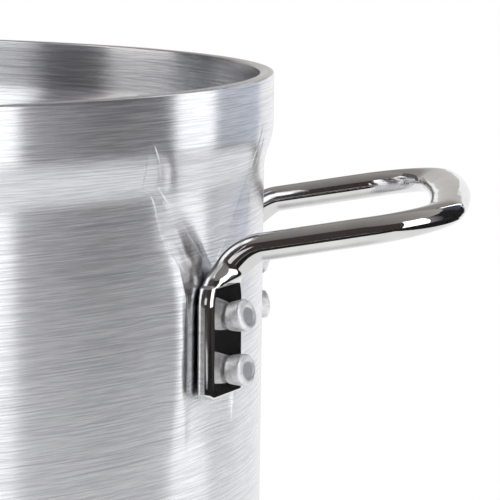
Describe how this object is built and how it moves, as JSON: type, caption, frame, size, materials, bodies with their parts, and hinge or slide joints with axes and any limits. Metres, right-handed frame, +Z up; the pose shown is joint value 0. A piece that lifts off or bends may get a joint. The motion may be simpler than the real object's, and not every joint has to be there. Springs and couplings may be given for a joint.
{
  "type": "stockpot",
  "caption": "Tall straight-sided cooking pot with a stepped collar under its rim and riveted rod loop handles on opposite sides.",
  "frame": {"origin": "under the middle of the base, on the surface that the pot stands on", "axes": "+Z up along the pot's axis, +X towards the handle that the picture shows, +Y to the back"},
  "size_m": [0.4454, 0.3332, 0.32],
  "materials": {
    "brushed_aluminium": "brushed",
    "handle_chrome": "polished",
    "rivet_aluminium": "matte"
  },
  "bodies": {
    "root": {"pot_body": "brushed_aluminium", "right_handle": "handle_chrome", "left_handle": "handle_chrome", "right_front_upper_rivet": "rivet_aluminium", "right_front_lower_rivet": "rivet_aluminium", "right_rear_upper_rivet": "rivet_aluminium", "right_rear_lower_rivet": "rivet_aluminium", "left_front_upper_rivet": "rivet_aluminium", "left_front_lower_rivet": "rivet_aluminium", "left_rear_upper_rivet": "rivet_aluminium", "left_rear_lower_rivet": "rivet_aluminium"}
  },
  "joints": []
}
